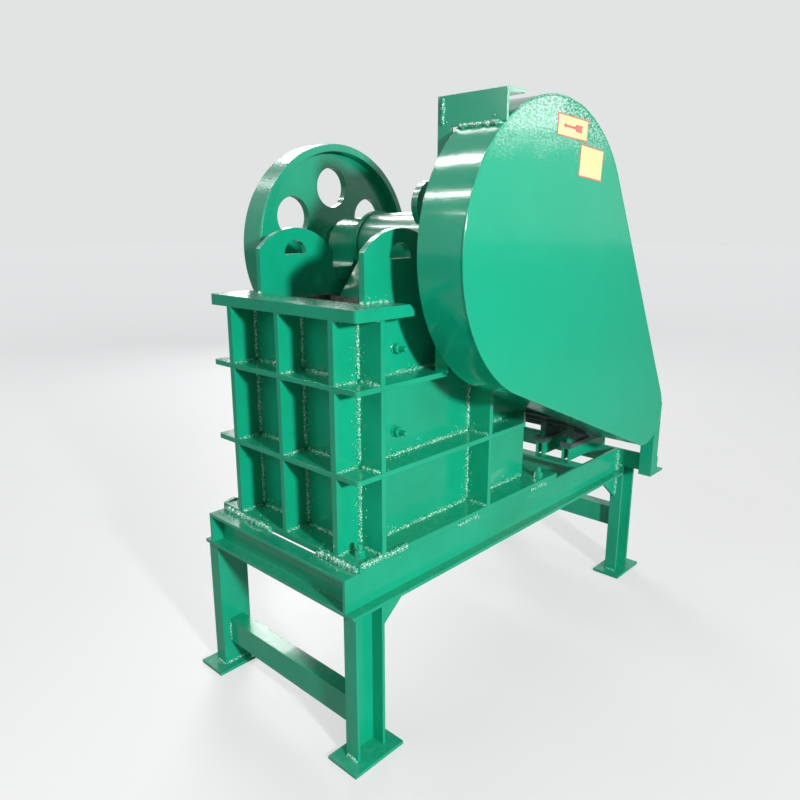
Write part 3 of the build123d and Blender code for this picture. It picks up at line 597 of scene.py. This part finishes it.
def bead(shape, start, end, width, plates=()):
    """Adds a bead between two places; plates are the directions in which the two plates lead away."""
    run = end - start
    count = max(3, int(run.length / BEAD_PITCH))
    axis, side, across = square_to(run)
    rings = []
    for step in range(count + 1):
        swell = 0.95 + 0.3 * math.sin(step * 1.25) ** 2 + rng.uniform(-0.22, 0.3)
        edge = min(step, count - step)
        swell *= 0.45 if edge == 0 else 0.85 if edge == 1 else 1.0
        drift = (side * rng.uniform(-0.25, 0.25) + across * rng.uniform(-0.25, 0.25)) * width * MM
        centre = start + run * (step / count) + drift
        rings.append(hoop(centre, side, across, width * swell, 8))
    shape.join(rings)
    for plate in plates:
        for _ in range(int(run.length * DROPLETS_PER_METRE)):
            away = Vector(plate) * rng.uniform(1.2, 4.2) * width * MM
            droplet(shape, start + run * rng.random() + away, rng.uniform(0.7, 1.9))


print("a metre of bead has about", round(1 / BEAD_PITCH) * 16, "triangles")

# %% [markdown]
# ### The seams of the body
# The seams follow the plates: along the foot of each side plate, above and below the ring bars, and up both
# sides of every rib. The ring bars part the body into three tiers. Each tier is listed by the heights where
# it starts and ends, the stretches between its ribs, and the faces of the ribs with the way each looks.

# %% Beads on the sides of the body
CORNER_RIB = ((68, -1), (81, 1))
MIDDLE_RIB = ((450, -1), (463, 1))
TIERS = (
    (BASE_TOP, 640, ((81, 450), (463, 706)), CORNER_RIB + MIDDLE_RIB),
    (652, 830, ((81, 450), (463, 596)), CORNER_RIB + MIDDLE_RIB),
    (842, FLANGE_FOOT, ((81, 600),), CORNER_RIB),
)
SEAT_FOOT = 1002
for side, flange_end, name in ((-1, 165, "side_welds_near"), (1, 124, "side_welds_far")):
    welds = Shape()
    out = (0, side, 0)
    face = side * SIDE_FACE
    foot, tip = side * (SIDE_FACE + 5), side * (BASE_EDGE - 3)
    for low, high, spans, rib_faces in TIERS:
        for x0, x1 in spans:
            bead(welds, at(x0, face, low), at(x1, face, low), 5.5, (out, (0, 0, 1)))
            if high != FLANGE_FOOT:
                bead(welds, at(x0, face, high), at(x1, face, high), 4.5, (out,))
        for x, way in rib_faces:
            away = (way, 0, 0)
            bead(welds, at(x, face, low + 4), at(x, face, high - 4), 5.5, (away, out))
            bead(welds, at(x, foot, low), at(x, tip, low), 4.5, (away,))
            bead(welds, at(x, foot, high), at(x, tip, high), 4.0)
    bead(welds, at(81, face, FLANGE_FOOT), at(flange_end, face, FLANGE_FOOT), 4.5)
    bead(welds, at(93, face, FLANGE_TOP + 1), at(flange_end, face, FLANGE_TOP + 1), 4.5, (out, (0, 0, 1)))
    # The bearing seat: its plate, then its ribs.
    bead(welds, at(338, face, SEAT_FOOT), at(602, face, SEAT_FOOT), 4.5)
    for x in (342, 349, 470, 598):
        bead(welds, at(x, face, 900), at(x, face, 1000), 4.0)
    piece(name, welds, weld_enamel, smooth=True)

# %% Beads on the front of the body
FRONT_WALL = 68
FRONT_FACES = ((-188, -1), (-172, 1), (-6.5, -1), (6.5, 1), (172, -1), (188, 1))
front_welds = Shape()
for low, high, *_ in TIERS:
    for y, way in FRONT_FACES:
        away = (0, way, 0)
        bead(front_welds, at(3, y, low), at(64, y, low), 4.5, (away,))
        bead(front_welds, at(3, y, high), at(64, y, high), 4.5)
        if abs(y) < 180:
            bead(front_welds, at(FRONT_WALL, y, low + 4), at(FRONT_WALL, y, high - 4), 5.0, (away,))
    for y0, y1 in ((-168, -10), (10, 168)):
        bead(front_welds, at(FRONT_WALL, y0, low), at(FRONT_WALL, y1, low), 5.0, ((-1, 0, 0), (0, 0, 1)))
        bead(front_welds, at(FRONT_WALL, y0, high), at(FRONT_WALL, y1, high), 4.5)
for side in (-1, 1):
    bead(front_welds, at(90, side * 186, FLANGE_TOP + 1), at(90, side * 174, FLANGE_TOP + 1), 5.0)
piece("front_welds", front_welds, weld_enamel, smooth=True)

# %% [markdown]
# ### The seams of the stand and the guard
# The base plate is welded to the beams at its front corners and stitched further back, and light shows
# through the joint between the two front beads. The stand's own joints have beads round them. The guard's
# bracket is welded to its rim, and the edge of the guard's face is rounded by a slim rim of its own.

# %% Beads on the stand
FOOT_TOP = 8
stand_welds = Shape()
for y0, y1 in ((252, 50), (-118, -252)):
    bead(stand_welds, at(0, y0, STAND_TOP + 3), at(0, y1, STAND_TOP + 3), 8.0, ((-1, 0, 0), (0, 0, 1)))
for side in (-1, 1):
    edge, rim = side * BASE_EDGE, side * (BASE_EDGE - 1)
    # The base plate on the beams, its front corners and its stitches, then the beams' rear corners.
    bead(stand_welds, at(4, rim, BASE_TOP - 3), at(150, rim, BASE_TOP - 3), 6.5, ((0, -side, 0), (0, 0, -1)))
    for x0, x1 in ((330, 420), (650, 730)):
        bead(stand_welds, at(x0, edge, STAND_TOP + 2), at(x1, edge, STAND_TOP + 2), 5.0, ((0, 0, -1),))
    bead(stand_welds, at(1174, edge, 366), at(1174, edge, STAND_TOP - 4), 6.5, ((-1, 0, 0),))
    # The legs' tops and feet, then the stretchers and the gussets.
    for x, top in ((-36, 360), (50, 360), (1174, 390), (1260, 390)):
        bead(stand_welds, at(x, side * 245, top), at(x, side * 278, top), 4.0)
        bead(stand_welds, at(x, side * 244, FOOT_TOP), at(x, side * 278, FOOT_TOP), 4.5)
    for x in (-36, 1174):
        bead(stand_welds, at(x + 4, side * 242, FOOT_TOP), at(x + 82, side * 242, FOOT_TOP), 4.5)
    for x, z in ((-14, 70), (1196, 160)):
        bead(stand_welds, at(x, side * 241, z + 4), at(x, side * 241, z + 62), 4.0)
    for x, way in ((50, 1), (1174, -1)):
        bead(stand_welds, at(x, edge, 352), at(x, edge, 280), 4.0)
        bead(stand_welds, at(x + 8 * way, edge, 360), at(x + 98 * way, edge, 360), 4.0)
for y in (-206, -180, -112, -86):
    bead(stand_welds, at(945, y, STAND_TOP), at(955, y, STAND_TOP), 4.0)
piece("stand_welds", stand_welds, weld_enamel, smooth=True)

# %% Beads and rounded edge of the guard
# Middle and radius of the guard's two round ends.
GUARD_ENDS = ((SHAFT_X, SHAFT_Z, 327), (MOTOR_X, MOTOR_Z, 97))
EDGE_RADIUS = 2.4
guard_welds = Shape()
bead(guard_welds, at(261, -250, 1362), at(261, -250, 1414), 4.0, ((0, -1, 0),))
bead(guard_welds, at(262, -290, 1356), at(262, -400, 1356), 5.0, ((0, 0, 1),))
bead(guard_welds, at(1135, -389, 575), at(1135, -389, 622), 4.5, ((0, 0, -1),))
piece("guard_welds", guard_welds, weld_enamel, smooth=True)


def guard_outline():
    """Places round the guard's face with their outward directions: two arcs, joined by straight runs."""
    (x0, z0, wide), (x1, z1, narrow) = GUARD_ENDS
    axis_angle = math.atan2(z1 - z0, x1 - x0)
    spread = math.acos((wide - narrow) / math.hypot(x1 - x0, z1 - z0))
    arcs = ((x0, z0, wide, axis_angle + spread, axis_angle - spread + 2 * math.pi, 150),
            (x1, z1, narrow, axis_angle - spread, axis_angle + spread, 40))
    for x, z, reach, first, last, steps in arcs:
        for step in range(steps + 1):
            angle = first + (last - first) * step / steps
            out = Vector((math.cos(angle), 0, math.sin(angle)))
            yield at(x, GUARD_FACE, z) + out * (reach - EDGE_RADIUS / 2) * MM, out


guard_edge = Shape()
rings = [hoop(spot + Y_AXIS * (EDGE_RADIUS / 2 * MM), out, Y_AXIS, EDGE_RADIUS, 10)
         for spot, out in guard_outline()]
guard_edge.join(rings + rings[:1], caps=False)
piece("guard_edge", guard_edge, sheet_enamel, smooth=True)

# %% [markdown]
# ## The tension spring
# Behind the rear wall a coil spring on the tension rod pulls the jaw against its toggle plate. The solid
# there is a plain tube that only fills its place. Here the wire is swept along a helix, with the end coils
# closed up, as such springs are made.

# %% Coil spring
SPRING_START, SPRING_LENGTH, SPRING_Z = 712, 78, 520
SPRING_RADIUS, WIRE = 21.5, 4.2
COILS, STEPS = 6.5, 260
CLOSED = 0.14


def helix_point(share):
    """A place on the spring's wire, from its first end (0) to its last (1)."""
    rise = min(max((share - CLOSED / 2) / (1 - CLOSED), 0), 1)
    along = WIRE + rise * (SPRING_LENGTH - 2 * WIRE)
    angle = 2 * math.pi * COILS * share
    return at(SPRING_START + along, SPRING_RADIUS * math.cos(angle),
              SPRING_Z + SPRING_RADIUS * math.sin(angle))


spring = Shape()
rings = []
for step in range(STEPS + 1):
    here = helix_point(step / STEPS)
    spoke = Vector((0, here.y, here.z - SPRING_Z / 1000)).normalized()
    ahead = helix_point(min(step + 1, STEPS) / STEPS) - helix_point(max(step - 1, 0) / STEPS)
    rings.append(hoop(here, spoke, ahead.normalized().cross(spoke), WIRE, 10))
spring.join(rings)
coil = piece("coil_spring", spring, spring_steel, smooth=True)
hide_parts("tension_spring")
print("wire length", round(2 * math.pi * SPRING_RADIUS * COILS), "mm")

# %% [markdown]
# ## Key, terminal box and motor eye
# Both wheels are keyed to the shaft. The flywheel's key shows at the end of the shaft, and the other is
# hidden by the guard. The motor has a lid with four screws on its terminal box, a cable gland at its side,
# and a lifting eye beside the box.

# %% Shaft key
key = Shape()
stack(key, at(SHAFT_X, 384.5, SHAFT_Z + 36), (0, 1, 0), [(0, 10, 4), (20, 10, 4), (21, 9.2, 4)], 4)
piece("shaft_key", key, bright_steel, body="rotor")

# %% Terminal box lid, gland and lifting eye
LID_HALF, LID_HEIGHT = 44, 8
SCREW_OUT = 0.036
box_low, box_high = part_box("terminal_box")
box_middle = (box_low + box_high) / 2
lid = Shape()
lid_foot = Vector((box_middle.x, box_middle.y, box_high.z))
stack(lid, lid_foot, (0, 0, 1), [(0, LID_HALF, 4), (5, LID_HALF, 4), (LID_HEIGHT, LID_HALF - 3, 4)], 4)
for dx in (-SCREW_OUT, SCREW_OUT):
    for dy in (-SCREW_OUT, SCREW_OUT):
        spot = lid_foot + Vector((dx, dy, LID_HEIGHT / 1000))
        stack(lid, spot, (0, 0, 1), [(0, 4.5, 0), (2.4, 4.3, 0), (3.2, 3.2, 0)], 16)
gland = Vector((box_low.x, box_middle.y, box_middle.z - 0.004))
stack(lid, gland, (-1, 0, 0), [(0, 15, 6), (9, 15, 6), (10, 13, 0), (20, 12.5, 0), (24, 9, 0)])
piece("terminal_lid", lid, motor_paint)

EYE_Y, EYE_FOOT, EYE_MIDDLE = 10, 718, 735
EYE_RADIUS, EYE_WIRE = 0.0125, 3.5
eye = Shape()
rings = []
for step in range(32):
    angle = 2 * math.pi * step / 32
    spoke = Vector((math.cos(angle), 0, math.sin(angle)))
    rings.append(hoop(at(MOTOR_X, EYE_Y, EYE_MIDDLE) + spoke * EYE_RADIUS, spoke, Y_AXIS, EYE_WIRE, 8))
eye.join(rings + rings[:1], caps=False)
stack(eye, at(MOTOR_X, EYE_Y, EYE_FOOT), (0, 0, 1), [(0, 9, 0), (4, 9, 0), (6, 5, 0)])
piece("motor_eye", eye, motor_paint, smooth=True)

# %% [markdown]
# ## Two stickers on the guard
# The guard's face carries two yellow stickers near its top, one with a red arrow that shows which way the
# wheels turn, and one that is left plain. A sticker is a thin sheet with its own edge, so each colour is a
# flat shape that lies on the one below it.

# %% Vinyl and thin sheets


def sticker_finish(name, colour):
    """Printed vinyl, slightly faded in patches."""
    vinyl = Finish(name)
    faded = vinyl.ramp(vinyl.noise(26.0, 3.0, 0.6), (0.4, 0.0), (0.8, 1.0)) * 0.35
    pale = tuple(0.6 * value + 0.4 for value in colour)
    return vinyl.finish(vinyl.mix(faded, colour, pale), 0.42 + 0.1 * faded)


sticker_red = sticker_finish("sticker_red", srgb(214, 96, 92))
sticker_yellow = sticker_finish("sticker_yellow", srgb(250, 236, 158))


def sheet(shape, corners, lift, thick=0.3):
    """Adds a thin sheet; corners are (x, z) in mm on the guard's face, and lift is its height off it."""
    rings = [[at(x, GUARD_FACE - level, z) for x, z in corners] for level in (lift, lift + thick)]
    shape.join(rings)


def turned(corners, spot, degrees):
    """Corners turned about their own middle and moved to a spot."""
    cosine, sine = math.cos(math.radians(degrees)), math.sin(math.radians(degrees))
    return [(spot[0] + x * cosine - z * sine, spot[1] + x * sine + z * cosine) for x, z in corners]


def plate(half_x, half_z):
    """Corners of a rectangle about its own middle."""
    return [(-half_x, -half_z), (half_x, -half_z), (half_x, half_z), (-half_x, half_z)]


print("corners of a 2 by 1 plate:", plate(1, 0.5))

# %% The two stickers
ARROW_AT, ARROW_TURN = (520, 1369), -2.5
PLAIN_AT, PLAIN_TURN = (609, 1300), -4.5
ARROW = [(-42, 0), (-29, 6.5), (-29, 2.5), (9, 3), (11, 7.5), (42, 7.5),
         (37, 0), (42, -7.5), (11, -7.5), (9, -3), (-29, -2.5), (-29, -6.5)]
red = Shape()
sheet(red, turned(plate(65, 23), ARROW_AT, ARROW_TURN), 0.1)
sheet(red, turned(plate(53, 35), PLAIN_AT, PLAIN_TURN), 0.1)
sheet(red, turned(ARROW, ARROW_AT, ARROW_TURN), 0.8, 0.15)
piece("sticker_red", red, sticker_red)
yellow = Shape()
sheet(yellow, turned(plate(61, 20), ARROW_AT, ARROW_TURN), 0.45)
sheet(yellow, turned(plate(50, 32), PLAIN_AT, PLAIN_TURN), 0.45)
piece("sticker_yellow", yellow, sticker_yellow)

# %% [markdown]
# ## Floor and light
# A pale painted floor under soft light, as in a workshop hall. It glows for the camera alone, so that it
# stays pale right up to the haze far off.

# %% Floor
FLOOR_HALF = 40
HAZE_NEAR, HAZE_FAR = (0.53, 0.53, 0.535), (0.585, 0.595, 0.60)
HAZE_REACH = 9.0
floor_corners = [(x * FLOOR_HALF, y * FLOOR_HALF, 0) for x, y in ((-1, -1), (1, -1), (1, 1), (-1, 1))]
floor_mesh = bpy.data.meshes.new("floor")
floor_mesh.from_pydata(floor_corners, [], [(0, 1, 2, 3)])
floor = bpy.data.objects.new("floor", floor_mesh)
bpy.context.scene.collection.objects.link(floor)
pale = Finish("pale_floor")
pale_tint = pale.mix(pale.noise(1.5, 4.0, 0.6), (0.30, 0.30, 0.30), (0.34, 0.34, 0.34))
far_off = pale.node("ShaderNodeVectorMath", {"operation": "LENGTH"}, {0: pale.place()}, output="Value")
haze = pale.mix(pale.ramp(far_off / HAZE_REACH, (0.15, 0.0), (1.0, 1.0)), HAZE_NEAR, HAZE_FAR)
floor_seen = pale.node("ShaderNodeLightPath", {}, {}, output="Is Camera Ray")
pale.feed(pale.shader.inputs["Emission Color"], pale.mix(floor_seen, (0.0, 0.0, 0.0), haze))
pale.shader.inputs["Emission Strength"].default_value = 1.0
floor.data.materials.append(pale.finish(pale_tint, 0.5 + 0.1 * pale.noise(6.0)))
print("floor is", 2 * FLOOR_HALF, "m wide")

# %% [markdown]
# ### The lamps
# The main lamp stands low beside the camera and lights the near side almost squarely, so that the ear and
# the guard throw clear shadows on the plates behind them. A weak one lights the feed wall, one behind the
# machine lights its far side, and one is mirrored in the top of the guard. Four strips overhead show only
# in the gloss of the paint, as bands across the rims, because a rim mirrors the roof and hardly anything
# else. The world adds an even light, brighter where the camera or a glossy face looks at it.

# %% Lamps and world


def lamp(name, place, target, size, watts, length=None, gloss_only=False):
    """A soft lamp that faces a target: a square, or a strip where it has a length."""
    data = bpy.data.lights.new(name, "AREA")
    data.shape = "RECTANGLE"
    data.size = size
    data.size_y = length or size
    data.energy = watts
    made = bpy.data.objects.new(name, data)
    bpy.context.scene.collection.objects.link(made)
    made.location = place
    made.rotation_euler = (Vector(target) - Vector(place)).to_track_quat("-Z", "Y").to_euler()
    made.visible_diffuse = not gloss_only


lamp("side_lamp", (-1.45, -4.1, 1.95), (0.0, 0, 0.95), 0.32, 195)
lamp("glare_lamp", (4.2, -3.3, 2.25), (0.0, -0.4, 1.3), 0.5, 9)
lamp("front_lamp", (-3.4, 1.0, 2.6), (-0.4, 0, 0.7), 1.6, 18)
lamp("back_lamp", (2.6, 3.6, 2.4), (0.1, 0, 0.7), 1.6, 80)

STRIP_Y, STRIP_Z, STRIP_LENGTH = 1.9, 3.6, 3.2
STRIPS = ((0.85, 0.5, 150), (-1.05, 0.28, 85), (-2.8, 0.3, 75), (-4.6, 0.3, 40))
for number, (x, wide, watts) in enumerate(STRIPS):
    lamp(f"ceiling_strip_{number}", (x, STRIP_Y, STRIP_Z), (x, STRIP_Y, 0.0), wide, watts,
         STRIP_LENGTH, gloss_only=True)

hall = Finish("hall", world=True)
bpy.context.scene.world = hall.material
seen = hall.node("ShaderNodeLightPath", {}, {}, output="Is Camera Ray")
mirrored = hall.node("ShaderNodeLightPath", {}, {}, output="Is Glossy Ray")
hall.feed(hall.shader.inputs["Color"], (0.95, 0.965, 0.97, 1))
hall.feed(hall.shader.inputs["Strength"], 0.24 + 0.56 * seen + 0.40 * mirrored)

# %% [markdown]
